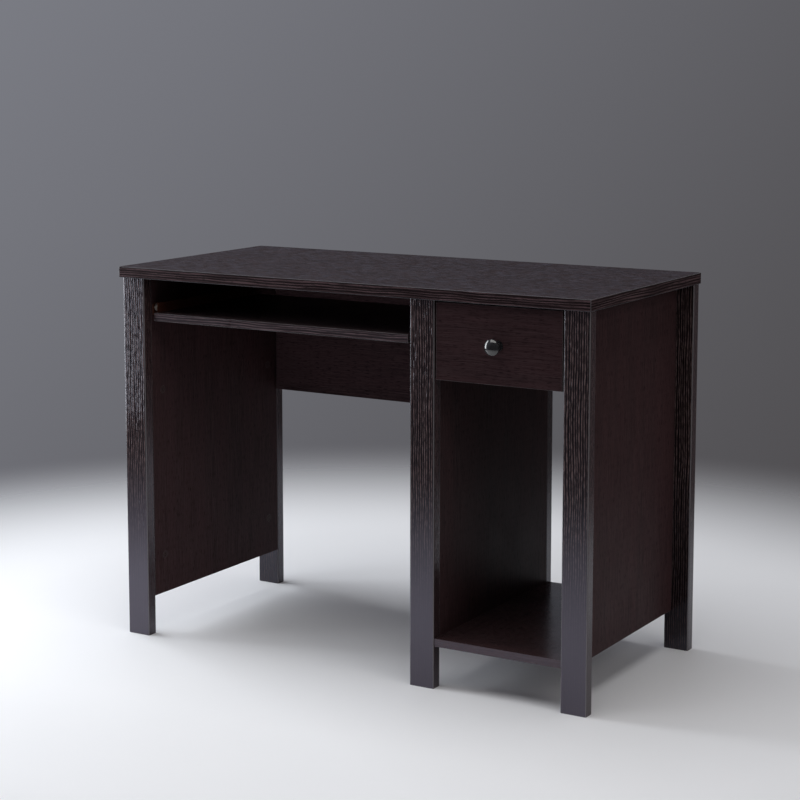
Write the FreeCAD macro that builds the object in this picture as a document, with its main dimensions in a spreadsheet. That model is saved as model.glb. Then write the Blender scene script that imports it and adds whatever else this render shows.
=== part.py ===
import FreeCAD, Part
import math
import os
import Sketcher
from collections import defaultdict
from types import SimpleNamespace

# Kneehole desk with a keyboard tray on the left and a drawer over an open shelf on the right.
# Lengths are in millimetres. +Z is up, the sitter faces +Y, and the origin lies on the floor
# under the middle of the whole box, which the drawer's knob makes a little deeper than the top.

DRIVING_SIZES = {
    # desk top and the six legs
    "desk_width": 1050.0,
    "desk_depth": 500.0,
    "desk_height": 760.0,
    "top_thickness": 22.0,
    "top_edge_radius": 1.5,
    "leg_width": 52.0,
    "leg_thickness": 24.0,
    "leg_edge_radius": 2.5,
    "end_overhang": 4.0,
    "front_overhang": 8.0,
    # boards between the legs
    "board_thickness": 15.0,
    "drawer_bay_width": 265.0,
    "panel_floor_gap": 79.0,
    "shelf_rise": 3.0,
    "shelf_front_inset": 3.0,
    "shelf_rear_inset": 15.0,
    "modesty_height": 293.0,
    "batten_height": 44.0,
    # keyboard tray
    "tray_thickness": 16.0,
    "tray_gap": 71.0,
    "tray_inset": 16.0,
    "tray_rear_margin": 10.0,
    # drawer
    "drawer_front_height": 145.0,
    "drawer_gap": 3.0,
    "drawer_front_inset": 2.0,
    "drawer_side_thickness": 12.0,
    "drawer_side_drop": 35.0,
    "drawer_side_rise": 10.0,
    "drawer_rear_margin": 20.0,
    "drawer_bottom_thickness": 3.0,
    "drawer_groove_depth": 5.0,
    "drawer_groove_rise": 14.0,
    # drawer knob and its screw
    "knob_radius": 15.0,
    "knob_projection": 33.0,
    "knob_rim_width": 4.0,
    "knob_dome_height": 6.5,
    "knob_neck_radius": 6.0,
    "knob_base_radius": 10.0,
    "knob_base_height": 3.0,
    "knob_flare_height": 3.0,
    "knob_screw_radius": 2.0,
    "knob_screw_grip": 9.0,
    # roller runners
    "runner_rear_room": 94.0,
    "runner_setback": 12.0,
    "runner_sheet": 1.2,
    "flange_lip": 0.7,
    "rail_clearance": 3.5,
    "track_width": 10.0,
    "track_gap": 1.9,
    "seat_width": 12.0,
    "seat_drop": 11.8,
    "roller_radius": 8.5,
    "roller_width": 6.0,
    "roller_end_distance": 12.0,
    "roller_gap": 0.3,
    "roller_headroom": 1.7,
    "roller_window_margin": 3.0,
    "roller_recess_room": 0.4,
    "roller_recess_depth": 1.0,
    "roller_side_play": 0.2,
    "pin_radius": 2.0,
    "pin_tail_radius": 1.6,
    "pin_collar_radius": 3.1,
    "pin_head_radius": 3.2,
    "pin_head_height": 0.6,
    "pin_play": 0.08,
    # cam locks, their bolts and dowels
    "cam_radius": 7.5,
    "cam_back_wall": 3.0,
    "cam_reach": 34.0,
    "bolt_radius": 3.2,
    "bolt_head_length": 4.0,
    "bolt_neck_radius": 2.2,
    "bolt_neck_length": 4.0,
    "bolt_thread_radius": 3.0,
    "bolt_thread_length": 10.0,
    "dowel_radius": 4.0,
    "dowel_length": 30.0,
    "dowel_end_room": 1.0,
    # screws
    "screw_radius": 1.75,
    "screw_length": 11.0,
    "screw_head_radius": 3.3,
    "screw_head_height": 1.2,
    "long_screw_bite": 11.0,
    "slot_width": 0.9,
    "slot_depth": 0.7,
    # fits and cuts
    "fit_clearance": 0.1,
    "cut_overrun": 5.0,
}

# Shares of a panel's height, a panel's depth, a runner's length and so on, at which fixings sit.
PANEL_CAM_SHARES = (0.12, 0.645)
PANEL_DOWEL_SHARES = (0.25, 0.82)
TOP_CAM_SHARES = (0.15, 0.85)
MODESTY_CAM_SHARES = (0.35, 0.8)
MODESTY_DOWEL_SHARE = 0.12
SHELF_CAM_SHARES = (0.2, 0.8)
BATTEN_SCREW_SHARES = (0.25, 0.5, 0.75)
RUNNER_SCREW_SHARES = (0.12, 0.5, 0.86)
SEAT_SCREW_SHARES = (0.15, 0.5, 0.85)
DRAWER_CAM_SHARE = 0.62
DRAWER_SCREW_SHARES = (0.3, 0.75)

X_AXIS = (1, 0, 0)
Y_AXIS = (0, 1, 0)
Z_AXIS = (0, 0, 1)


class Size:
    """A length, kept as an expression over the sheet's cells and as the number it comes to."""

    def __init__(self, text, number):
        self.text = text
        self.number = number

    def __add__(self, other):
        return Size(f"({self.text} + {other.text})", self.number + other.number)

    def __sub__(self, other):
        return Size(f"({self.text} - {other.text})", self.number - other.number)

    def __mul__(self, factor):
        return Size(f"({self.text} * {factor})", self.number * factor)

    def __truediv__(self, divisor):
        return Size(f"({self.text} / {divisor})", self.number / divisor)


doc = FreeCAD.newDocument("kneehole_desk")
sheet = doc.addObject("Spreadsheet::Sheet", "sizes")
for row, (alias, number) in enumerate(DRIVING_SIZES.items(), start=1):
    sheet.set(f"A{row}", alias)
    sheet.set(f"B{row}", str(number))
    sheet.setAlias(f"B{row}", alias)
doc.recompute()

s = SimpleNamespace(**{alias: Size(f"sizes.{alias}", number) for alias, number in DRIVING_SIZES.items()})
ZERO = Size("0", 0.0)

blanks = {}
bores = defaultdict(list)
fixings = defaultdict(list)


def flip(axis):
    return tuple(-step for step in axis)


def along(point, axis, length):
    """The point moved by a length along an axis."""
    return tuple(place + length * step if step else place for place, step in zip(point, axis))


def share_of(low, high, share):
    """The place at a share of the way from low to high."""
    return low + (high - low) * share


def middle(low, high):
    return (low + high) / 2


def put(thing, point, rotation=None):
    """Bind an object's place to a point, after turning it."""
    if rotation is not None:
        thing.Placement = FreeCAD.Placement(FreeCAD.Vector(), rotation)
    for letter, place in zip("xyz", point):
        thing.setExpression(f"Placement.Base.{letter}", place.text)


def box(low, high):
    solid = doc.addObject("Part::Box", "box")
    for name, start, end in zip(("Length", "Width", "Height"), low, high):
        solid.setExpression(name, (end - start).text)
    put(solid, low)
    return solid


def box_between(first, second):
    """A box from two opposite corners, whichever way round they lie."""
    pairs = [sorted(places, key=lambda place: place.number) for places in zip(first, second)]
    return box([pair[0] for pair in pairs], [pair[1] for pair in pairs])


def rod(start, axis, length, radius):
    solid = doc.addObject("Part::Cylinder", "rod")
    solid.setExpression("Radius", radius.text)
    solid.setExpression("Height", length.text)
    put(solid, start, FreeCAD.Rotation(FreeCAD.Vector(*Z_AXIS), FreeCAD.Vector(*axis)))
    return solid


def fuse(solids):
    if len(solids) == 1:
        return solids[0]
    joined = doc.addObject("Part::MultiFuse", "fuse")
    joined.Shapes = solids
    return joined


def cut(base, tools):
    if not tools:
        return base
    result = doc.addObject("Part::Cut", "cut")
    result.Base = base
    result.Tool = fuse(tools)
    return result


def cross_slot(face, axis, length):
    """Two crossed boxes that sink a screwdriver's cross into a face."""
    boxes = []
    across = [other for other in (X_AXIS, Y_AXIS, Z_AXIS) if other not in (axis, flip(axis))]
    for long_way, short_way in (across, across[::-1]):
        floor = along(face, axis, ZERO - s.slot_depth)
        first = along(along(floor, long_way, ZERO - length / 2), short_way, ZERO - s.slot_width / 2)
        second = along(along(first, long_way, length), short_way, s.slot_width)
        boxes.append(box_between(first, along(second, axis, s.slot_depth + s.cut_overrun)))
    return boxes


def new_body(name):
    return doc.addObject("PartDesign::Body", name)


def dome(rim, peak):
    """The arc from a rim up to a peak on the upright axis, with its centre on that axis."""
    rise = peak.y - rim.y
    radius = (rim.x ** 2 + rise ** 2) / (2 * rise)
    centre = FreeCAD.Vector(peak.x, peak.y - radius, peak.z)
    start_angle = math.atan2(rim.y - centre.y, rim.x)
    return Part.ArcOfCircle(Part.Circle(centre, FreeCAD.Vector(*Z_AXIS), radius), start_angle, math.pi / 2)


def profile(body, points, domed_side=None):
    """A closed sketch through points; a domed side is an arc centred on the sketch's upright axis."""
    sketch = body.newObject("Sketcher::SketchObject", "profile")
    plane = next(item for item in body.Origin.OriginFeatures if item.Role == "XY_Plane")
    sketch.AttachmentSupport = [(plane, "")]
    sketch.MapMode = "FlatFace"
    corners = [FreeCAD.Vector(x.number, y.number, 0) for x, y in points]
    count = len(corners)
    for index, corner in enumerate(corners):
        following = corners[(index + 1) % count]
        side = dome(corner, following) if index == domed_side else Part.LineSegment(corner, following)
        sketch.addGeometry(side, False)
    if domed_side is not None:
        sketch.addConstraint(Sketcher.Constraint("PointOnObject", domed_side, 3, -2))
    for index in range(count):
        sketch.addConstraint(Sketcher.Constraint("Coincident", index, 2, (index + 1) % count, 1))
    for index, point in enumerate(points):
        for kind, place, axis in zip(("DistanceX", "DistanceY"), point, (-2, -1)):
            if place is ZERO:
                sketch.addConstraint(Sketcher.Constraint("PointOnObject", index, 1, axis))
            else:
                number = sketch.addConstraint(Sketcher.Constraint(kind, -1, 1, index, 1, place.number))
                sketch.setExpression(f"Constraints[{number}]", place.text)
    return sketch


def padded(body, points, length):
    sketch = profile(body, points)
    pad = body.newObject("PartDesign::Pad", "pad")
    pad.Profile = sketch
    pad.setExpression("Length", length.text)
    doc.recompute()
    return pad


def turned(name, points, start, axis, domed_side=None):
    """A body turned about an axis: points are radius and distance from the start."""
    body = new_body(name)
    sketch = profile(body, points, domed_side)
    revolution = body.newObject("PartDesign::Revolution", "revolution")
    revolution.Profile = sketch
    revolution.ReferenceAxis = (sketch, ["V_Axis"])
    revolution.Angle = 360
    put(body, start, FreeCAD.Rotation(FreeCAD.Vector(*Y_AXIS), FreeCAD.Vector(*axis)))
    return body


def round_edges(body, pad, edge_names, radius):
    rounding = body.newObject("PartDesign::Fillet", "rounding")
    rounding.Base = (pad, edge_names)
    rounding.setExpression("Radius", radius.text)


def rectangle(width, depth):
    return [(ZERO, ZERO), (width, ZERO), (width, depth), (ZERO, depth)]


def upright_edges(shape):
    names = []
    for number, edge in enumerate(shape.Edges, start=1):
        first, last = (vertex.Point for vertex in edge.Vertexes)
        if abs(first.z - last.z) > max(abs(first.x - last.x), abs(first.y - last.y)):
            names.append(f"Edge{number}")
    return names


# Planes that the whole desk shares.
underside = s.desk_height - s.top_thickness
knob_reach = s.knob_projection - s.front_overhang - s.drawer_front_inset
top_rear = (s.desk_depth + knob_reach) / 2
top_front = top_rear - s.desk_depth
leg_front = top_front + s.front_overhang
panel_front = leg_front + s.leg_thickness
panel_rear = top_rear - s.leg_thickness
left_inner = s.leg_width + s.end_overhang - s.desk_width / 2
right_inner = s.desk_width / 2 - s.end_overhang - s.leg_width
bay_left = right_inner - s.drawer_bay_width
knee_right = bay_left - s.leg_width
panel_bottom = s.panel_floor_gap
half_board = s.board_thickness / 2

# Desk top with softened edges.
top_body = new_body("top")
top_pad = padded(top_body, rectangle(s.desk_width, s.desk_depth), s.top_thickness)
round_edges(top_body, top_pad, [f"Edge{number + 1}" for number in range(len(top_pad.Shape.Edges))],
            s.top_edge_radius)
put(top_body, (ZERO - s.desk_width / 2, top_front, underside))
blanks["top_panel"] = top_body

# Six flat posts that stand on the floor and carry the top.
LEG_COLUMNS = {"left": left_inner - s.leg_width, "middle": knee_right, "right": right_inner}
LEG_ROWS = {"front": leg_front, "rear": panel_rear}
for column, leg_left in LEG_COLUMNS.items():
    for row_name, leg_face in LEG_ROWS.items():
        leg = f"{row_name}_{column}_leg"
        leg_body = new_body("leg")
        leg_pad = padded(leg_body, rectangle(s.leg_width, s.leg_thickness), underside)
        round_edges(leg_body, leg_pad, upright_edges(leg_pad.Shape), s.leg_edge_radius)
        put(leg_body, (leg_left, leg_face, ZERO))
        blanks[leg] = leg_body

# Boards between the legs: two sides, the partition, the modesty panel and the low shelf.
PANEL_LEFT_FACES = {
    "left_side_panel": left_inner - s.board_thickness,
    "partition_panel": bay_left - s.board_thickness,
    "right_side_panel": right_inner,
}
for panel, face in PANEL_LEFT_FACES.items():
    blanks[panel] = box((face, panel_front, panel_bottom), (face + s.board_thickness, panel_rear, underside))

modesty_bottom = underside - s.modesty_height
blanks["modesty_panel"] = box((left_inner, panel_rear, modesty_bottom),
                              (knee_right, panel_rear + s.board_thickness, underside))

shelf_bottom = panel_bottom + s.shelf_rise
blanks["bottom_shelf"] = box((bay_left, leg_front + s.shelf_front_inset, shelf_bottom),
                             (right_inner, top_rear - s.shelf_rear_inset, shelf_bottom + s.board_thickness))

# Sizes that the four roller runners share. Distances across a runner are counted from the face of the
# board that carries its channel towards the moving board, and heights from the channel's bottom.
runner_length = panel_rear - panel_front - s.runner_rear_room
roller_near = s.runner_sheet + s.screw_head_height + s.roller_side_play * 2
roller_far = roller_near + s.roller_width
rail_web = roller_far + s.rail_clearance
runner_space = rail_web + s.runner_sheet
channel_flange = roller_far + s.flange_lip
channel_height = (s.runner_sheet + s.roller_radius) * 2 + s.roller_gap + s.roller_headroom
track_underside = channel_height + s.track_gap
rail_height = s.seat_drop + track_underside + s.runner_sheet
fixed_roller_height = track_underside - s.roller_gap - s.roller_radius
rail_roller_height = s.runner_sheet + s.roller_gap + s.roller_radius

# Keyboard tray, held between two runners.
tray_left = left_inner + runner_space
tray_right = knee_right - runner_space
tray_front = leg_front + s.tray_inset
tray_top = underside - s.tray_gap
tray_bottom = tray_top - s.tray_thickness
tray_runner_front = tray_front + s.runner_setback
tray_rear = tray_runner_front + runner_length + s.tray_rear_margin
blanks["keyboard_tray"] = box((tray_left, tray_front, tray_bottom), (tray_right, tray_rear, tray_top))
tray_channel_bottom = tray_bottom + s.seat_drop - s.runner_sheet

# Batten that brings the partition's left face out to the edge of the middle legs, behind the right
# runner of the tray.
batten_bottom = tray_channel_bottom + (channel_height - s.batten_height) / 2
batten_middle = batten_bottom + s.batten_height / 2
blanks["runner_batten"] = box((knee_right, panel_front, batten_bottom),
                              (bay_left - s.board_thickness, panel_rear, batten_bottom + s.batten_height))

# Drawer: an inset front, two sides, a back and a thin bottom that slides in grooves.
front_left = bay_left + s.drawer_gap
front_right = right_inner - s.drawer_gap
front_face = leg_front + s.drawer_front_inset
front_back = front_face + s.board_thickness
front_top = underside - s.drawer_gap
front_bottom = front_top - s.drawer_front_height
drawer_left = bay_left + runner_space
drawer_right = right_inner - runner_space
inside_left = drawer_left + s.drawer_side_thickness
inside_right = drawer_right - s.drawer_side_thickness
side_bottom = front_bottom + s.drawer_side_rise
side_top = front_top - s.drawer_side_drop
drawer_runner_front = front_back + s.runner_setback
drawer_rear = drawer_runner_front + runner_length + s.drawer_rear_margin
back_front = drawer_rear - s.drawer_side_thickness
groove_bottom = side_bottom + s.drawer_groove_rise
groove_top = groove_bottom + s.drawer_bottom_thickness + s.fit_clearance * 2
drawer_channel_bottom = side_bottom + s.seat_drop - s.runner_sheet

blanks["drawer_front"] = box((front_left, front_face, front_bottom), (front_right, front_back, front_top))
blanks["drawer_left_side"] = box((drawer_left, front_back, side_bottom), (inside_left, drawer_rear, side_top))
blanks["drawer_right_side"] = box((inside_right, front_back, side_bottom),
                                  (drawer_right, drawer_rear, side_top))
blanks["drawer_back"] = box((inside_left, back_front, groove_top), (inside_right, drawer_rear, side_top))

groove_left = inside_left - s.drawer_groove_depth
groove_right = inside_right + s.drawer_groove_depth
groove_front = front_back - s.drawer_groove_depth
blanks["drawer_bottom"] = box(
    (groove_left + s.fit_clearance, groove_front + s.fit_clearance, groove_bottom + s.fit_clearance),
    (groove_right - s.fit_clearance, drawer_rear, groove_top - s.fit_clearance))
for grooved in ("drawer_front", "drawer_left_side", "drawer_right_side"):
    bores[grooved].append(box((groove_left, groove_front, groove_bottom),
                              (groove_right, drawer_rear + s.cut_overrun, groove_top)))


def cam_joint(cam_board, mate, edge, toward, face, thickness, set_name):
    """A cam lock sunk in a board's face that pulls on a bolt screwed into its mate.

    edge is the point on the joint's plane at the middle of the board's thickness, toward points into
    the mate, and face points out of the board's face that the cam is sunk in.
    """
    centre = along(edge, toward, ZERO - s.cam_reach)
    open_face = along(centre, face, thickness / 2)
    depth = thickness - s.cam_back_wall
    inner_end = along(open_face, face, ZERO - depth)
    head_start = along(centre, toward, ZERO - s.bolt_head_length / 2)
    channel_start = along(head_start, toward, ZERO - s.fit_clearance)
    channel_radius = s.bolt_radius + s.fit_clearance

    bores[cam_board].append(rod(inner_end, face, depth + s.cut_overrun, s.cam_radius + s.fit_clearance))
    bores[cam_board].append(rod(channel_start, toward, s.cam_reach + s.bolt_head_length + s.cut_overrun,
                                channel_radius))
    bores[mate].append(rod(edge, toward, s.bolt_thread_length + s.fit_clearance,
                           s.bolt_thread_radius + s.fit_clearance))

    channel = rod(channel_start, toward, s.bolt_head_length + s.cam_radius + s.cut_overrun, channel_radius)
    cam_blank = rod(inner_end, face, depth, s.cam_radius)
    cam = cut(cam_blank, [channel] + cross_slot(open_face, face, s.cam_radius))
    fixings[f"{set_name}_cam_locks"].append(cam)

    neck_start = along(head_start, toward, s.bolt_head_length)
    shank_start = along(neck_start, toward, s.bolt_neck_length)
    shank_length = s.cam_reach - s.bolt_head_length / 2 - s.bolt_neck_length
    bolt = fuse([
        rod(head_start, toward, s.bolt_head_length, s.bolt_radius),
        rod(neck_start, toward, s.bolt_neck_length, s.bolt_neck_radius),
        rod(shank_start, toward, shank_length, s.bolt_radius),
        rod(edge, toward, s.bolt_thread_length, s.bolt_thread_radius),
    ])
    fixings[f"{set_name}_cam_bolts"].append(bolt)


def dowel_joint(first, second, seam, axis, set_name):
    """A dowel centred on the seam between two boards, along an axis."""
    half = s.dowel_length / 2
    hole = rod(along(seam, axis, ZERO - half - s.dowel_end_room), axis,
               s.dowel_length + s.dowel_end_room * 2, s.dowel_radius + s.fit_clearance)
    bores[first].append(hole)
    bores[second].append(hole)
    dowel = rod(along(seam, axis, ZERO - half), axis, s.dowel_length, s.dowel_radius)
    fixings[f"{set_name}_dowels"].append(dowel)


def screw(seat, axis, length, pierced, set_name):
    """A pan-head screw driven along an axis, with its head standing on the seat."""
    head_face = along(seat, axis, ZERO - s.screw_head_height)
    for part in pierced:
        bores[part].append(rod(seat, axis, length + s.fit_clearance, s.screw_radius + s.fit_clearance))
    blank = fuse([rod(head_face, axis, s.screw_head_height, s.screw_head_radius),
                  rod(seat, axis, length, s.screw_radius)])
    finished = cut(blank, cross_slot(head_face, flip(axis), s.screw_head_radius))
    fixings[set_name].append(finished)


def sunk_screw(surface, axis, length, outer, inner, set_name):
    """A screw through one board into the next, with its head sunk flush with the outer board's surface."""
    seat = along(surface, axis, s.screw_head_height)
    mouth = along(surface, axis, ZERO - s.cut_overrun)
    bores[outer].append(rod(mouth, axis, s.cut_overrun + s.screw_head_height,
                            s.screw_head_radius + s.fit_clearance))
    screw(seat, axis, length - s.screw_head_height, (outer, inner), set_name)


# Side panels and partition are locked to their legs and to the top. The cams of the side panels face
# inwards, and those of the partition face the kneehole.
CAM_FACES = {"left_side_panel": X_AXIS, "partition_panel": flip(X_AXIS), "right_side_panel": flip(X_AXIS)}
COLUMN_OF_PANEL = {"left_side_panel": "left", "partition_panel": "middle", "right_side_panel": "right"}
for panel, face in PANEL_LEFT_FACES.items():
    panel_middle = face + half_board
    column = COLUMN_OF_PANEL[panel]
    for row_name, seam_y, toward in (("front", panel_front, flip(Y_AXIS)), ("rear", panel_rear, Y_AXIS)):
        leg = f"{row_name}_{column}_leg"
        for share in PANEL_CAM_SHARES:
            cam_joint(panel, leg, (panel_middle, seam_y, share_of(panel_bottom, underside, share)),
                      toward, CAM_FACES[panel], s.board_thickness, "frame")
        for share in PANEL_DOWEL_SHARES:
            dowel_joint(panel, leg, (panel_middle, seam_y, share_of(panel_bottom, underside, share)),
                        toward, "frame")
    for share in TOP_CAM_SHARES:
        cam_joint(panel, "top_panel", (panel_middle, share_of(panel_front, panel_rear, share), underside),
                  Z_AXIS, CAM_FACES[panel], s.board_thickness, "frame")

# Each leg is pegged to the top.
for column, leg_left in LEG_COLUMNS.items():
    for row_name, leg_face in LEG_ROWS.items():
        dowel_joint(f"{row_name}_{column}_leg", "top_panel",
                    (leg_left + s.leg_width / 2, leg_face + s.leg_thickness / 2, underside), Z_AXIS, "frame")

# The modesty panel is locked to the rear legs from behind.
modesty_middle = panel_rear + half_board
for leg, seam_x, toward in (("rear_left_leg", left_inner, flip(X_AXIS)),
                            ("rear_middle_leg", knee_right, X_AXIS)):
    for share in MODESTY_CAM_SHARES:
        cam_joint("modesty_panel", leg, (seam_x, modesty_middle, share_of(modesty_bottom, underside, share)),
                  toward, Y_AXIS, s.board_thickness, "frame")
    dowel_joint("modesty_panel", leg,
                (seam_x, modesty_middle, share_of(modesty_bottom, underside, MODESTY_DOWEL_SHARE)),
                toward, "frame")

# The shelf is locked to the partition and the right panel from below.
shelf_middle = shelf_bottom + half_board
for panel, seam_x, toward in (("partition_panel", bay_left, flip(X_AXIS)),
                              ("right_side_panel", right_inner, X_AXIS)):
    for share in SHELF_CAM_SHARES:
        cam_joint("bottom_shelf", panel, (seam_x, share_of(panel_front, panel_rear, share), shelf_middle),
                  toward, flip(Z_AXIS), s.board_thickness, "frame")

# The batten is screwed to the partition.
batten_width = s.leg_width - s.board_thickness
for share in BATTEN_SCREW_SHARES:
    sunk_screw((knee_right, share_of(panel_front, panel_rear, share), batten_middle), X_AXIS,
               batten_width + s.long_screw_bite, "runner_batten", "partition_panel", "batten_screws")

# Drawer box: the front is locked to the sides, and the sides are screwed to the back.
half_side = s.drawer_side_thickness / 2
cam_height = share_of(side_bottom, side_top, DRAWER_CAM_SHARE)
for side, outer_face, inwards in (("drawer_left_side", drawer_left, X_AXIS),
                                  ("drawer_right_side", drawer_right, flip(X_AXIS))):
    front_seam = along((outer_face, front_back, cam_height), inwards, half_side)
    cam_joint(side, "drawer_front", front_seam, flip(Y_AXIS), inwards, s.drawer_side_thickness, "drawer")
    for share in DRAWER_SCREW_SHARES:
        sunk_screw((outer_face, back_front + half_side, share_of(groove_top, side_top, share)), inwards,
                   s.drawer_side_thickness + s.long_screw_bite, side, "drawer_back", "drawer_back_screws")


# Roller runners. Each has a channel fixed to a carrier and a seat rail under the moving board.
def section_turn(inwards):
    """The turn that lays a section across the runner: its x inwards and its y upwards."""
    sideways = FreeCAD.Vector(*inwards)
    upwards = FreeCAD.Vector(*Z_AXIS)
    return FreeCAD.Rotation(sideways, upwards, sideways.cross(upwards), "XYZ")


def strip(points, carrier, inwards, front, bottom):
    """A runner's member: its section drawn out from the runner's front to its rear."""
    body = new_body("member")
    padded(body, points, runner_length)
    start = front if inwards == flip(X_AXIS) else front + runner_length
    put(body, (carrier, start, bottom), section_turn(inwards))
    return body


def roller(name, near, axis):
    """A nylon roller with a bore for its pin and a recess for the pin's head at its far end."""
    bore = s.pin_radius + s.pin_play
    recess_radius = s.pin_head_radius + s.roller_recess_room
    recess_floor = s.roller_width - s.roller_recess_depth
    blanks[name] = turned("roller", [
        (bore, ZERO),
        (s.roller_radius, ZERO),
        (s.roller_radius, s.roller_width),
        (recess_radius, s.roller_width),
        (recess_radius, recess_floor),
        (bore, recess_floor),
    ], near, axis)


def roller_pin(web_back, axis, near_distance, set_name):
    """A pin riveted through a web: tail, collar, shaft for the roller and a head in its recess."""
    collar_end = near_distance - s.roller_side_play
    head_start = near_distance + s.roller_width - s.roller_recess_depth + s.roller_side_play
    head_end = head_start + s.pin_head_height
    pin = turned("pin", [
        (ZERO, ZERO),
        (s.pin_tail_radius, ZERO),
        (s.pin_tail_radius, s.runner_sheet),
        (s.pin_collar_radius, s.runner_sheet),
        (s.pin_collar_radius, collar_end),
        (s.pin_radius, collar_end),
        (s.pin_radius, head_start),
        (s.pin_head_radius, head_start),
        (s.pin_head_radius, head_end),
        (ZERO, head_end),
    ], web_back, axis)
    fixings[set_name].append(pin)


def runner(unit, hand, carrier_part, carrier, inwards, front, bottom):
    """One runner: channel, seat rail, two rollers with their pins, and all its screws."""
    outwards = flip(inwards)
    channel = f"{unit}_{hand}_channel"
    rail = f"{unit}_{hand}_rail"
    blanks[channel] = strip([
        (ZERO, ZERO),
        (channel_flange, ZERO),
        (channel_flange, s.runner_sheet),
        (s.runner_sheet, s.runner_sheet),
        (s.runner_sheet, channel_height - s.runner_sheet),
        (channel_flange, channel_height - s.runner_sheet),
        (channel_flange, channel_height),
        (ZERO, channel_height),
    ], carrier, inwards, front, bottom)
    rail_bottom = bottom - s.seat_drop
    blanks[rail] = strip([
        (rail_web, ZERO),
        (runner_space + s.seat_width, ZERO),
        (runner_space + s.seat_width, s.runner_sheet),
        (runner_space, s.runner_sheet),
        (runner_space, rail_height),
        (runner_space - s.track_width, rail_height),
        (runner_space - s.track_width, rail_height - s.runner_sheet),
        (rail_web, rail_height - s.runner_sheet),
    ], carrier, inwards, front, rail_bottom)

    # The upper flange is cut away over the fixed roller.
    window_rear = front + s.roller_end_distance + s.roller_radius + s.roller_window_margin
    window_near = along((carrier, front - s.cut_overrun, bottom + channel_height - s.runner_sheet * 2),
                        inwards, s.runner_sheet)
    window_far = along((carrier, window_rear, bottom + channel_height + s.cut_overrun),
                       inwards, channel_flange + s.cut_overrun)
    bores[channel].append(box_between(window_near, window_far))

    fixed_centre = (carrier, front + s.roller_end_distance, bottom + fixed_roller_height)
    roller(f"{unit}_{hand}_front_roller", along(fixed_centre, inwards, roller_near), inwards)
    roller_pin(fixed_centre, inwards, roller_near, "channel_roller_pins")
    bores[channel].append(rod(fixed_centre, inwards, s.runner_sheet + s.cut_overrun,
                              s.pin_tail_radius + s.fit_clearance))

    rail_back = along((carrier, front + runner_length - s.roller_end_distance, bottom + rail_roller_height),
                      inwards, runner_space)
    rail_near = runner_space - roller_near - s.roller_width
    roller(f"{unit}_{hand}_rear_roller", along(rail_back, outwards, rail_near), outwards)
    roller_pin(rail_back, outwards, rail_near, f"{unit}_roller_pins")
    bores[rail].append(rod(rail_back, outwards, s.runner_sheet + s.cut_overrun,
                           s.pin_tail_radius + s.fit_clearance))

    for share in RUNNER_SCREW_SHARES:
        seat = along((carrier, front + runner_length * share, bottom + channel_height / 2),
                     inwards, s.runner_sheet)
        screw(seat, outwards, s.screw_length, (channel, carrier_part), "channel_screws")


def seat_screws(unit, hand, carrier, inwards, front, bottom, moving_part):
    """Screws driven up through the rail's seat into the moving board."""
    for share in SEAT_SCREW_SHARES:
        seat = along((carrier, front + runner_length * share, bottom - s.seat_drop), inwards,
                     runner_space + s.seat_width / 2)
        screw(seat, Z_AXIS, s.screw_length, (f"{unit}_{hand}_rail", moving_part), f"{unit}_rail_screws")


RUNNERS = (
    ("tray", "left", "left_side_panel", left_inner, X_AXIS, tray_runner_front, tray_channel_bottom,
     "keyboard_tray"),
    ("tray", "right", "runner_batten", knee_right, flip(X_AXIS), tray_runner_front, tray_channel_bottom,
     "keyboard_tray"),
    ("drawer", "left", "partition_panel", bay_left, X_AXIS, drawer_runner_front, drawer_channel_bottom,
     "drawer_left_side"),
    ("drawer", "right", "right_side_panel", right_inner, flip(X_AXIS), drawer_runner_front,
     drawer_channel_bottom, "drawer_right_side"),
)
for unit, hand, carrier_part, carrier, inwards, front, bottom, moving_part in RUNNERS:
    runner(unit, hand, carrier_part, carrier, inwards, front, bottom)
    seat_screws(unit, hand, carrier, inwards, front, bottom, moving_part)

# Round knob in the middle of the drawer front, held by a screw from inside the drawer.
knob_seat = (middle(front_left, front_right), front_face, middle(front_bottom, front_top))
rim_top = s.knob_projection - s.knob_dome_height
rim_bottom = rim_top - s.knob_rim_width
knob_outline = [
    (ZERO, ZERO),
    (s.knob_base_radius, ZERO),
    (s.knob_base_radius, s.knob_base_height),
    (s.knob_neck_radius, s.knob_base_height),
    (s.knob_neck_radius, rim_bottom - s.knob_flare_height),
    (s.knob_radius, rim_bottom),
    (s.knob_radius, rim_top),
    (ZERO, s.knob_projection),
]
blanks["drawer_knob"] = turned("knob", knob_outline, knob_seat, flip(Y_AXIS), len(knob_outline) - 2)

screw_back = along(knob_seat, Y_AXIS, s.board_thickness)
knob_screw_length = s.board_thickness + s.knob_screw_grip
knob_bore = rod(screw_back, flip(Y_AXIS), knob_screw_length + s.fit_clearance,
                s.knob_screw_radius + s.fit_clearance)
bores["drawer_front"].append(knob_bore)
bores["drawer_knob"].append(knob_bore)
head_back = along(screw_back, Y_AXIS, s.screw_head_height)
knob_screw = fuse([rod(screw_back, Y_AXIS, s.screw_head_height, s.screw_head_radius),
                   rod(screw_back, flip(Y_AXIS), knob_screw_length, s.knob_screw_radius)])
fixings["knob_screw"] = [cut(knob_screw, cross_slot(head_back, Y_AXIS, s.screw_head_radius))]

# Finished pieces: boards and members with their bores, and fixings gathered by kind.
pieces = {name: cut(blank, bores[name]) for name, blank in blanks.items()}
for name, solids in fixings.items():
    if len(solids) == 1:
        pieces[name] = solids[0]
    else:
        pieces[name] = doc.addObject("Part::Compound", "group")
        pieces[name].Links = solids
for name, piece in pieces.items():
    piece.Label = name
doc.recompute()

faults = [item.Name for item in doc.Objects if {"Invalid", "Error"} & set(item.State)]
faults += [name for name, piece in pieces.items() if piece.Shape.isNull() or not piece.Shape.isValid()]
if faults:
    raise RuntimeError("not built: " + ", ".join(faults))

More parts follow.
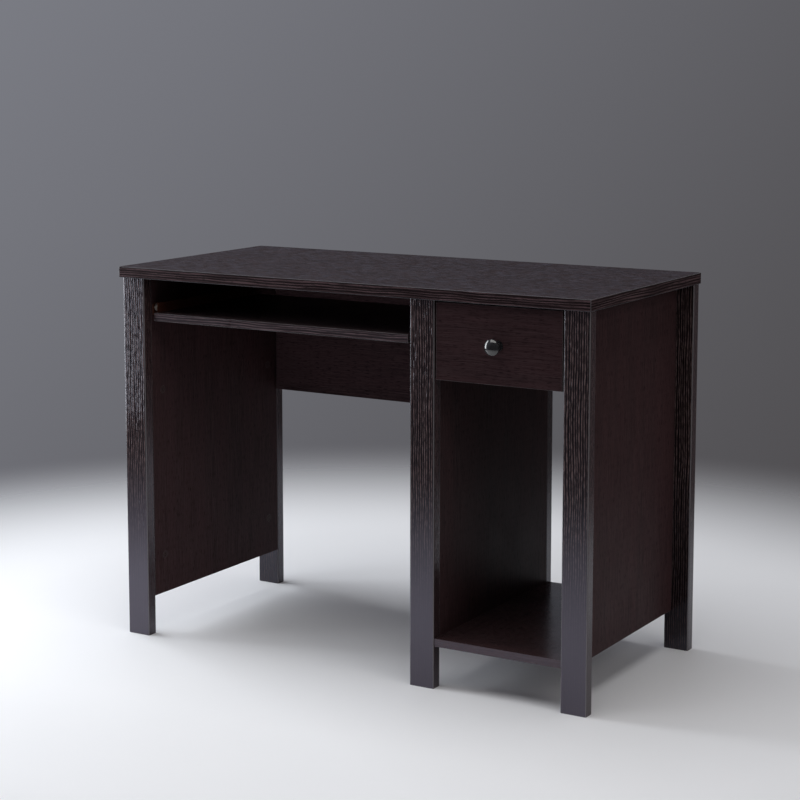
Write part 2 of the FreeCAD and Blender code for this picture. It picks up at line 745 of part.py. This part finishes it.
os.makedirs("parts", exist_ok=True)
for name, piece in pieces.items():
    piece.Shape.exportStep(f"parts/{name}.step")
print(len(pieces), "pieces")
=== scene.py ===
import math

import bpy
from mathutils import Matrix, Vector

# Looks of the kneehole desk: laminate, edge bands, runners and fittings, with a plain floor and soft light.
# Lengths are in metres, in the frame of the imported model. Colours are linear.

AXES = {"x": 0, "y": 1, "z": 2}

# Camera: place, heading and tilt found from the photograph's edges, for a picture of 800 by 800.
CAMERA_PLACE = (2.020, -3.387, 1.1966)
CAMERA_YAW = math.radians(30.899)
CAMERA_PITCH = math.radians(7.294)
FOCAL_PIXELS = 2000.2
PICTURE_PIXELS = 800
SENSOR_WIDTH = 36.0
CAMERA_SHIFT_Y = -0.12

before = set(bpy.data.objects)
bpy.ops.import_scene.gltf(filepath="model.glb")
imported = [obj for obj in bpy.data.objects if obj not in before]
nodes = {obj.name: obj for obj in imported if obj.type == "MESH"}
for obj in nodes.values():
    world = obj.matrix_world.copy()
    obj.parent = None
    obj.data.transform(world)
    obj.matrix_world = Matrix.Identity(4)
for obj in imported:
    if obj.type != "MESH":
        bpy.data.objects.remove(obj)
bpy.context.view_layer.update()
scene = bpy.context.scene
scene.view_settings.view_transform = "Standard"


class Graph:
    """A node tree with short ways to add and join nodes."""

    def __init__(self, owner):
        owner.use_nodes = True
        self.tree = owner.node_tree
        self.tree.nodes.clear()

    def feed(self, socket, value):
        if isinstance(value, bpy.types.NodeSocket):
            self.tree.links.new(value, socket)
        elif socket.type == "RGBA" and len(value) == 3:
            socket.default_value = (*value, 1.0)
        else:
            socket.default_value = value

    def node(self, kind, inputs, **settings):
        made = self.tree.nodes.new(kind)
        for name, value in settings.items():
            setattr(made, name, value)
        for key, value in inputs.items():
            self.feed(made.inputs[key], value)
        return made

    def math(self, operation, *values, clamp=False):
        made = self.node("ShaderNodeMath", dict(enumerate(values)), operation=operation, use_clamp=clamp)
        return made.outputs[0]

    def times(self, first, second):
        return self.math("MULTIPLY", first, second)

    def blend(self, share, first, second):
        """A number between two numbers."""
        return self.node("ShaderNodeMix", {0: share, 2: first, 3: second}, data_type="FLOAT").outputs[0]

    def tint(self, share, first, second, mode="MIX"):
        """A colour between two colours."""
        made = self.node("ShaderNodeMix", {0: share, 6: first, 7: second}, data_type="RGBA", blend_type=mode)
        return made.outputs[2]

    def remap(self, value, low, high, to_low=0.0, to_high=1.0, smooth=False):
        kind = "SMOOTHSTEP" if smooth else "LINEAR"
        inputs = {0: value, 1: low, 2: high, 3: to_low, 4: to_high}
        return self.node("ShaderNodeMapRange", inputs, interpolation_type=kind).outputs[0]

    def noise(self, vector, scale=1.0, detail=2.0, roughness=0.5):
        inputs = {"Vector": vector, "Scale": scale, "Detail": detail, "Roughness": roughness, "Distortion": 0.0}
        return self.node("ShaderNodeTexNoise", inputs, noise_dimensions="3D").outputs[0]

    def streaks(self, across, along, width, length, layer=0.0, detail=2.0, roughness=0.5):
        """Noise drawn out along the grain: width and length are the size of its patches."""
        spot = self.join(self.math("DIVIDE", across, width), self.math("DIVIDE", along, length), layer)
        return self.noise(spot, 1.0, detail, roughness)

    def split(self, vector):
        return self.node("ShaderNodeSeparateXYZ", {0: vector}).outputs

    def join(self, x, y, z):
        return self.node("ShaderNodeCombineXYZ", {0: x, 1: y, 2: z}).outputs[0]

    def place(self):
        return self.node("ShaderNodeTexCoord", {}).outputs["Object"]

    def facing(self):
        return self.split(self.node("ShaderNodeNewGeometry", {}).outputs["True Normal"])

    def bump(self, height, depth, normal):
        inputs = {"Strength": 1.0, "Distance": depth, "Height": height, "Normal": normal}
        return self.node("ShaderNodeBump", inputs).outputs[0]

    def surface(self, **inputs):
        named = {key.replace("_", " "): value for key, value in inputs.items()}
        shader = self.node("ShaderNodeBsdfPrincipled", named)
        self.node("ShaderNodeOutputMaterial", {0: shader.outputs[0]})


def material(name):
    made = bpy.data.materials.new(name)
    return made, Graph(made)


EDGE_SAMPLES = 6
EDGE_NONE, EDGE_FULL = 0.985, 0.90   # largest part of a rounded normal on a flat, and well round an edge


def soft_edge(graph, radius):
    """A normal rounded over sharp edges, and how much of an edge a point is."""
    rounded = graph.node("ShaderNodeBevel", {"Radius": radius}, samples=EDGE_SAMPLES).outputs[0]
    parts = [graph.math("ABSOLUTE", part) for part in graph.split(rounded)]
    largest = graph.math("MAXIMUM", graph.math("MAXIMUM", parts[0], parts[1]), parts[2])
    return rounded, graph.remap(largest, EDGE_NONE, EDGE_FULL, smooth=True)


# What all laminates share: where noise turns into a pattern, and how the gloss varies.
FACE_LIMIT = 0.7            # part of a unit normal along an axis, above which a face looks along it
WAVE_LENGTH = 0.314         # length of one wave at a scale of 1
BEAD_RANGE = (0.40, 0.60)
FIBRE_RANGE = (0.35, 0.68)
PORE_RANGE = (0.58, 0.68)
TONE_RANGE = (0.35, 0.65)
PEBBLE_RANGE = (0.44, 0.60)
PORE_LAYER, TONE_LAYER, PEBBLE_LAYER = 7.0, 3.0, 5.0   # places in the noise, so that the patterns differ
PEBBLE_RIDGE = 0.7          # ridge height at which the flecks are full
RIDGE_TOP, RELIEF_TOP = 0.84, 0.90
PAINTED_SHEEN_START = 0.25           # share of the painted sheen's height, from the floor up, where that painted floor reflection is full
PAINTED_SHEEN_BEADS = 0.32           # what is left of the ridges there, faded as the painted floor reflection washes them out
SMUDGE_SCALE = 9.0
SMUDGE_RANGE = (0.3, 0.7)
SMUDGE_GLOSS = (-0.04, 0.05)
PORE_GLOSS = 0.10
LAMINATE_IOR = 1.5
LAMINATE_SHEEN = (0.80, 0.82, 1.0)


def laminate(name, grain, band, look):
    """Printed wood-grain laminate. The grain runs along one axis, and on the faces across that axis the
    edge band's grain runs along another."""
    made, graph = material(name)
    place = graph.split(graph.place())
    facing = graph.facing()
    third = next(axis for axis in AXES if axis not in (grain, band))
    on_end = graph.math("GREATER_THAN", graph.math("ABSOLUTE", facing[AXES[grain]]), FACE_LIMIT)
    on_face = graph.math("GREATER_THAN", graph.math("ABSOLUTE", facing[AXES[third]]), FACE_LIMIT)
    along = graph.blend(on_end, place[AXES[grain]], place[AXES[band]])
    across = graph.math("ADD", graph.blend(on_end, place[AXES[band]], place[AXES[grain]]), place[AXES[third]])

    # The grain wanders a little from side to side.
    drift = graph.noise(graph.join(across, along, 0.0), look["drift_scale"], 1.0)
    across = graph.math("MULTIPLY_ADD", graph.math("SUBTRACT", drift, 0.5), look["drift"], across)

    # Raised ridges, broken up along their length and fainter on the bands.
    wave = graph.node("ShaderNodeTexWave", {
        "Vector": graph.join(across, graph.times(along, look["ridge_stretch"]), 0.0),
        "Scale": WAVE_LENGTH / look["ridge_pitch"], "Distortion": look["ridge_wander"],
        "Detail": 2.0, "Detail Scale": 1.6, "Detail Roughness": 0.6}).outputs[1]
    bead_length = graph.blend(on_face, look["band_bead_length"], look["bead_length"])
    beads = graph.streaks(across, along, look["bead_width"], bead_length, roughness=0.55)
    beads = graph.remap(beads, *BEAD_RANGE, look["bead_low"], 1.0, smooth=True)
    beads = graph.times(beads, graph.blend(on_face, look["band_ridge"], 1.0))
    # Painted reflection: near the floor the ridges fade and flatten, as the floor's reflection in their gloss
    # would wash them out.
    if look["painted_sheen_height"]:
        painted_sheen_start = look["painted_sheen_height"] * PAINTED_SHEEN_START
        above_painted_sheen = graph.remap(place[AXES["z"]], painted_sheen_start, look["painted_sheen_height"], smooth=True)
        beads = graph.times(beads, graph.remap(above_painted_sheen, 0.0, 1.0, PAINTED_SHEEN_BEADS, 1.0))

    # Fine printed fibres, short dark pores, broad bands of tone and smudges of gloss.
    fibre = graph.streaks(across, along, look["fibre_width"], look["fibre_length"], detail=3.0, roughness=0.6)
    pore = graph.streaks(across, along, look["pore_width"], look["pore_length"], PORE_LAYER, detail=1.0)
    pore = graph.remap(pore, *PORE_RANGE, smooth=True)
    tone = graph.streaks(across, along, look["tone_width"], look["tone_length"], TONE_LAYER)
    smudge = graph.noise(graph.place(), SMUDGE_SCALE, 3.0, 0.6)

    normal, edge = soft_edge(graph, look["edge_radius"])
    beads = graph.times(beads, graph.math("SUBTRACT", 1.0, edge))
    relief = graph.times(graph.remap(wave, look["relief_foot"], RELIEF_TOP, smooth=True), beads)
    ridge = graph.times(graph.remap(wave, look["ridge_foot"], RIDGE_TOP, smooth=True), beads)

    colour = graph.tint(graph.remap(fibre, *FIBRE_RANGE), look["dark"], look["light"])
    colour = graph.tint(graph.remap(tone, *TONE_RANGE, 0.0, look["tone_share"]), colour, look["red"])
    colour = graph.tint(graph.times(ridge, look["ridge_share"]), colour, look["ridge"])
    colour = graph.tint(graph.times(pore, look["pore_share"]), colour, look["pore"])
    height = graph.math("MULTIPLY_ADD", fibre, look["fibre_rise"], relief)
    height = graph.math("SUBTRACT", height, graph.times(pore, look["pore_rise"]))

    # Painted reflection: smooth, greyer purple feet on the front faces of the front legs, standing in for the
    # pale floor mirrored in their gloss.
    if look["painted_sheen_height"]:
        front = graph.times(graph.math("LESS_THAN", facing[AXES["y"]], -FACE_LIMIT),
                            graph.math("LESS_THAN", place[AXES["y"]], 0.0))
        painted_sheen = graph.times(graph.remap(above_painted_sheen, 0.0, 1.0, look["painted_sheen_share"], 0.0), front)
        colour = graph.tint(painted_sheen, colour, look["painted_sheen"])
    if look["face_shade"] != look["band_shade"]:
        shade = graph.blend(on_face, look["band_shade"], look["face_shade"])
        colour = graph.tint(1.0, colour, graph.join(shade, shade, shade), "MULTIPLY")

    # Pale bluish flecks that follow the ridges of a face: printed grain, and in part a painted reflection of the
    # surroundings on the embossed top.
    if look["pebble_rise"]:
        pebble = graph.streaks(across, along, look["pebble_width"], look["pebble_length"], PEBBLE_LAYER)
        pebble = graph.times(graph.remap(pebble, *PEBBLE_RANGE, smooth=True), on_face)
        pebble = graph.times(pebble, graph.remap(ridge, 0.0, PEBBLE_RIDGE, look["pebble_low"], 1.0))
        colour = graph.tint(graph.times(pebble, look["pebble_share"]), colour, look["grain_and_sheen_fleck"])
        height = graph.math("MULTIPLY_ADD", pebble, look["pebble_rise"], height)
    # Painted highlight: the edges are tinted paler and greyer, standing in for the gloss that catches rounded
    # edges.
    colour = graph.tint(graph.times(edge, look["edge_share"]), colour, look["edge"])

    glossy, dull = (look["roughness"] + change for change in SMUDGE_GLOSS)
    roughness = graph.math("ADD", graph.remap(smudge, *SMUDGE_RANGE, glossy, dull), graph.times(pore, PORE_GLOSS))
    roughness = graph.blend(edge, roughness, look["edge_roughness"])
    graph.surface(Base_Color=colour, Roughness=roughness, IOR=LAMINATE_IOR, Specular_IOR_Level=look["specular"],
                  Specular_Tint=LAMINATE_SHEEN, Normal=graph.bump(height, look["depth"], normal))
    return made


# In each look, "edge" is the colour of the painted highlight along the edges.
SMOOTH = {
    "drift_scale": 9.0, "drift": 0.010,
    "ridge_pitch": 0.0042, "ridge_stretch": 0.05, "ridge_wander": 6.0, "ridge_foot": 0.38, "relief_foot": 0.38,
    "bead_width": 0.006, "bead_length": 0.08, "band_bead_length": 0.08, "bead_low": 0.25,
    "fibre_width": 0.0022, "fibre_length": 0.090, "fibre_rise": 0.5,
    "pore_width": 0.0012, "pore_length": 0.016, "pore_rise": 0.6,
    "tone_width": 0.035, "tone_length": 0.60, "tone_share": 0.6,
    "pebble_rise": 0.0, "painted_sheen_height": 0.0, "face_shade": 1.0, "band_shade": 1.0, "band_ridge": 1.0,
    "dark": (0.0230, 0.0125, 0.0132), "light": (0.0620, 0.0342, 0.0358), "red": (0.0550, 0.0264, 0.0280),
    "ridge": (0.052, 0.032, 0.033), "pore": (0.006, 0.0036, 0.0039), "edge": (0.14, 0.13, 0.135),
    "ridge_share": 0.25, "pore_share": 0.7, "edge_share": 0.6,
    "edge_radius": 0.0009, "edge_roughness": 0.32, "roughness": 0.42, "specular": 0.025, "depth": 0.00003,
}
EMBOSSED = dict(
    SMOOTH, drift=0.006, ridge_pitch=0.0048, ridge_stretch=0.06, ridge_wander=5.0, ridge_foot=0.46,
    bead_width=0.0045, bead_length=0.014, band_bead_length=0.014, bead_low=0.40,
    dark=(0.009, 0.0052, 0.0056), light=(0.016, 0.0092, 0.0097), red=(0.016, 0.0085, 0.0090),
    ridge=(0.085, 0.056, 0.060), edge=(0.30, 0.285, 0.29), ridge_share=0.9, edge_share=0.8,
    edge_radius=0.0014, roughness=0.15, specular=0.7, depth=0.00035)
# The front legs' feet fade to a purple-grey painted reflection of the pale floor.
POST = dict(
    EMBOSSED, band_ridge=0.12, band_shade=3.6, relief_foot=0.20, bead_low=0.35, depth=0.0002,
    fibre_rise=0.2, pore_rise=0.25, painted_sheen_height=0.42, painted_sheen=(0.088, 0.075, 0.094), painted_sheen_share=0.80,
    dark=(0.005, 0.0029, 0.0031), light=(0.010, 0.0057, 0.0060), red=(0.011, 0.0057, 0.0060),
    ridge=(0.145, 0.099, 0.097), edge=(0.16, 0.15, 0.152), roughness=0.14, specular=0.6)
TOP = dict(
    EMBOSSED, bead_length=0.012, band_bead_length=0.10, bead_width=0.006, ridge_stretch=0.04, ridge_foot=0.38,
    pebble_width=0.007, pebble_length=0.030, pebble_rise=0.8, pebble_share=0.46, pebble_low=0.25,
    grain_and_sheen_fleck=(0.092, 0.091, 0.124), face_shade=0.76, band_shade=1.30,
    dark=(0.006, 0.0036, 0.0039), light=(0.015, 0.0088, 0.0093), ridge=(0.080, 0.050, 0.054),
    edge=(0.12, 0.115, 0.125), depth=0.0003, roughness=0.45, specular=0.05)
# The shelf's upper face is painted a quarter darker than its front edge: painted shade.
EDGED = dict(
    SMOOTH, specular=0.7, roughness=0.20, face_shade=0.75, band_bead_length=0.15, ridge_share=0.5,
    ridge=(0.085, 0.058, 0.062))
TRAY_BOARD = dict(
    EMBOSSED, bead_length=0.05, band_bead_length=0.05, ridge_stretch=0.04, depth=0.00014,
    dark=(0.017, 0.0104, 0.0112), light=(0.034, 0.021, 0.023), ridge=(0.150, 0.105, 0.113),
    roughness=0.3, specular=0.3)
# The modesty panel's copy of the panel laminate is painted lighter, as painted light on a panel deep in the
# kneehole.
LONG_BOARD = dict(SMOOTH, dark=(0.034, 0.021, 0.023), light=(0.090, 0.056, 0.061), red=(0.080, 0.045, 0.050))
# The drawer front's copy of the panel laminate is painted darker, as painted shade, and its edges carry a wider,
# paler painted highlight.
DRAWER_FACE = dict(
    SMOOTH, dark=(0.0200, 0.0113, 0.0124), light=(0.0540, 0.0310, 0.0335), red=(0.0480, 0.0240, 0.0265),
    edge=(0.22, 0.21, 0.215), edge_share=0.7, edge_radius=0.0014)
UPRIGHT_BOARD = dict(SMOOTH, specular=0.04)
DULL_BOARD = dict(SMOOTH, roughness=0.5)

# What all painted, moulded and metal surfaces share.
FITTING_EDGE_RADIUS = 0.0003
FITTING_EDGE_SHARE = 0.5
SPOT_RANGE = (0.3, 0.7)
SPOT_GLOSS = 0.25


def mottled(name, colour, spots, spot_scale, roughness, metallic=0.0, depth=0.00002, bump_scale=900.0,
            specular=0.5, edge=None, stretch=(1.0, 1.0, 1.0)):
    """A painted, moulded or metal surface with faint spots, uneven gloss and rubbed edges."""
    made, graph = material(name)
    parts = graph.split(graph.place())
    place = graph.join(*(graph.times(part, factor) for part, factor in zip(parts, stretch)))
    patches = graph.noise(place, spot_scale, 4.0, 0.6)
    grit = graph.noise(place, bump_scale, 2.0, 0.6)
    normal, edge_share = soft_edge(graph, FITTING_EDGE_RADIUS)
    tone = graph.tint(graph.remap(patches, *SPOT_RANGE, smooth=True), colour, spots)
    tone = graph.tint(graph.times(edge_share, FITTING_EDGE_SHARE), tone, edge or spots)
    gloss = graph.math("MULTIPLY_ADD", graph.math("SUBTRACT", patches, 0.5), SPOT_GLOSS, roughness, clamp=True)
    graph.surface(Base_Color=tone, Roughness=gloss, Metallic=metallic, Specular_IOR_Level=specular,
                  Normal=graph.bump(grit, depth, normal))
    return made


LEG = laminate("leg_laminate", "z", "x", POST)
DESK_TOP = laminate("top_laminate", "x", "y", TOP)
UPRIGHT_PANEL = laminate("panel_laminate_upright", "z", "y", UPRIGHT_BOARD)
LONG_PANEL = laminate("panel_laminate_long", "x", "z", LONG_BOARD)
SHELF = laminate("shelf_laminate", "x", "y", EDGED)
TRAY = laminate("tray_laminate", "x", "y", TRAY_BOARD)
DRAWER_FRONT = laminate("drawer_laminate", "x", "z", DRAWER_FACE)
DRAWER_SIDE = laminate("drawer_board", "y", "z", DULL_BOARD)
DRAWER_BACK = laminate("drawer_back_board", "x", "z", DULL_BOARD)
BATTEN = laminate("batten_board", "y", "z", SMOOTH)
HARDBOARD = mottled("hardboard", (0.045, 0.024, 0.013), (0.075, 0.042, 0.024), 220.0, 0.6, depth=0.0001,
                    bump_scale=1200.0)
ENAMEL = mottled("runner_enamel", (0.080, 0.027, 0.015), (0.105, 0.036, 0.020), 60.0, 0.42, depth=0.00004,
                 bump_scale=1500.0, specular=0.3, edge=(0.14, 0.06, 0.036))
# The nylon rollers are painted mid grey rather than white: painted shade.
NYLON = mottled("nylon", (0.34, 0.32, 0.28), (0.44, 0.42, 0.38), 300.0, 0.42)
ZINC = mottled("zinc", (0.30, 0.30, 0.31), (0.42, 0.42, 0.43), 400.0, 0.42, metallic=1.0,
               edge=(0.55, 0.55, 0.56))
CAM = mottled("cam_cap", (0.034, 0.020, 0.020), (0.046, 0.028, 0.028), 400.0, 0.5, specular=0.1)
BEECH = mottled("beech", (0.40, 0.25, 0.13), (0.50, 0.33, 0.19), 300.0, 0.6, stretch=(1.0, 1.0, 0.1))
KNOB = mottled("knob_black_nickel", (0.008, 0.008, 0.009), (0.014, 0.014, 0.016), 120.0, 0.06,
               depth=0.000002, specular=0.9)

FINISHES = {
    "top_panel": DESK_TOP, "modesty_panel": LONG_PANEL, "bottom_shelf": SHELF, "runner_batten": BATTEN,
    "keyboard_tray": TRAY, "drawer_front": DRAWER_FRONT, "drawer_bottom": HARDBOARD, "drawer_knob": KNOB,
    "drawer_left_side": DRAWER_SIDE, "drawer_right_side": DRAWER_SIDE, "drawer_back": DRAWER_BACK,
    "frame_dowels": BEECH,
}
FINISH_BY_ENDING = (("_leg", LEG), ("side_panel", UPRIGHT_PANEL), ("partition_panel", UPRIGHT_PANEL),
                    ("_channel", ENAMEL), ("_rail", ENAMEL), ("_roller", NYLON), ("_cam_locks", CAM))


def finish_of(name):
    """The finish of a node. Screws, pins and bolts are zinc."""
    if name in FINISHES:
        return FINISHES[name]
    return next((made for ending, made in FINISH_BY_ENDING if name.endswith(ending)), ZINC)


for name, node in nodes.items():
    node.data.materials.clear()
    node.data.materials.append(finish_of(name))

# Plain pale floor that fades into the surroundings.
FLOOR_HALF = 6.0
FADE_START = 0.95
FADE_END = 2.1
FLOOR_COLOURS = ((0.84, 0.85, 0.875), (0.875, 0.88, 0.90))
FLOOR_SPOT_SCALE = 2.5
FLOOR_ROUGHNESS = 0.5
floor_mesh = bpy.data.meshes.new("floor")
floor_mesh.from_pydata([(-FLOOR_HALF, -FLOOR_HALF, 0), (FLOOR_HALF, -FLOOR_HALF, 0),
                        (FLOOR_HALF, FLOOR_HALF, 0), (-FLOOR_HALF, FLOOR_HALF, 0)], [], [(0, 1, 2, 3)])
floor = bpy.data.objects.new("floor", floor_mesh)
scene.collection.objects.link(floor)
floor_material, graph = material("floor")
mottle = graph.noise(graph.place(), FLOOR_SPOT_SCALE, 4.0, 0.6)
reach = graph.node("ShaderNodeVectorMath", {0: graph.place()}, operation="LENGTH").outputs[1]
graph.surface(Base_Color=graph.tint(mottle, *FLOOR_COLOURS), Roughness=FLOOR_ROUGHNESS,
              Alpha=graph.remap(reach, FADE_START, FADE_END, 1.0, 0.0, smooth=True))
floor_mesh.materials.append(floor_material)

# Soft surroundings, lighter on the left.
LIGHT_SIDE = (-0.85, 0.10, 0.52)
LIGHT_RANGE = (0.15, 1.0)
DIM_SIDE_COLOUR = (0.075, 0.071, 0.075)
LIGHT_SIDE_COLOUR = (0.26, 0.27, 0.31)
world = bpy.data.worlds.new("world")
scene.world = world
graph = Graph(world)
direction = graph.node("ShaderNodeTexCoord", {}).outputs["Generated"]
towards = graph.node("ShaderNodeVectorMath", {0: direction, 1: LIGHT_SIDE}, operation="DOT_PRODUCT").outputs[1]
glow = graph.tint(graph.remap(towards, *LIGHT_RANGE, smooth=True), DIM_SIDE_COLOUR, LIGHT_SIDE_COLOUR)
surroundings = graph.node("ShaderNodeBackground", {"Color": glow, "Strength": 1.0})
graph.node("ShaderNodeOutputWorld", {0: surroundings.outputs[0]})


def soft_box(name, place, target, size, power, colour):
    lamp = bpy.data.lights.new(name, "AREA")
    lamp.shape = "RECTANGLE"
    lamp.size, lamp.size_y = size
    lamp.energy = power
    lamp.color = colour
    holder = bpy.data.objects.new(name, lamp)
    holder.location = place
    holder.rotation_euler = (Vector(target) - Vector(place)).to_track_quat("-Z", "Y").to_euler()
    scene.collection.objects.link(holder)


# A large light on the left, a small one near the left leg that catches the sides of its ridges, one overhead,
# and a weak one on the right. Sizes are width and height, powers are in watts.
soft_box("left_light", (-2.6, -0.1, 1.40), (0.0, -0.1, 1.40), (1.78, 2.72), 82.0, (0.94, 0.97, 1.0))
soft_box("leg_light", (-1.10, -0.545, 0.72), (-0.5, -0.23, 0.70), (0.36, 0.78), 2.9, (0.92, 0.96, 1.0))
soft_box("overhead_light", (0.2, -0.7, 3.2), (0.2, -0.699, 0.0), (3.0, 3.0), 66.0, (1.0, 0.99, 0.97))
soft_box("right_light", (3.3, -0.8, 2.1), (0.5, 0.0, 0.6), (2.0, 2.0), 20.0, (1.0, 0.97, 0.95))

camera_data = bpy.data.cameras.new("camera")
camera_data.sensor_width = SENSOR_WIDTH
camera_data.lens = FOCAL_PIXELS / PICTURE_PIXELS * SENSOR_WIDTH
camera_data.shift_y = CAMERA_SHIFT_Y
camera = bpy.data.objects.new("camera", camera_data)
camera.location = CAMERA_PLACE
camera.rotation_euler = (math.pi / 2 - CAMERA_PITCH, 0.0, CAMERA_YAW)
scene.collection.objects.link(camera)
scene.camera = camera
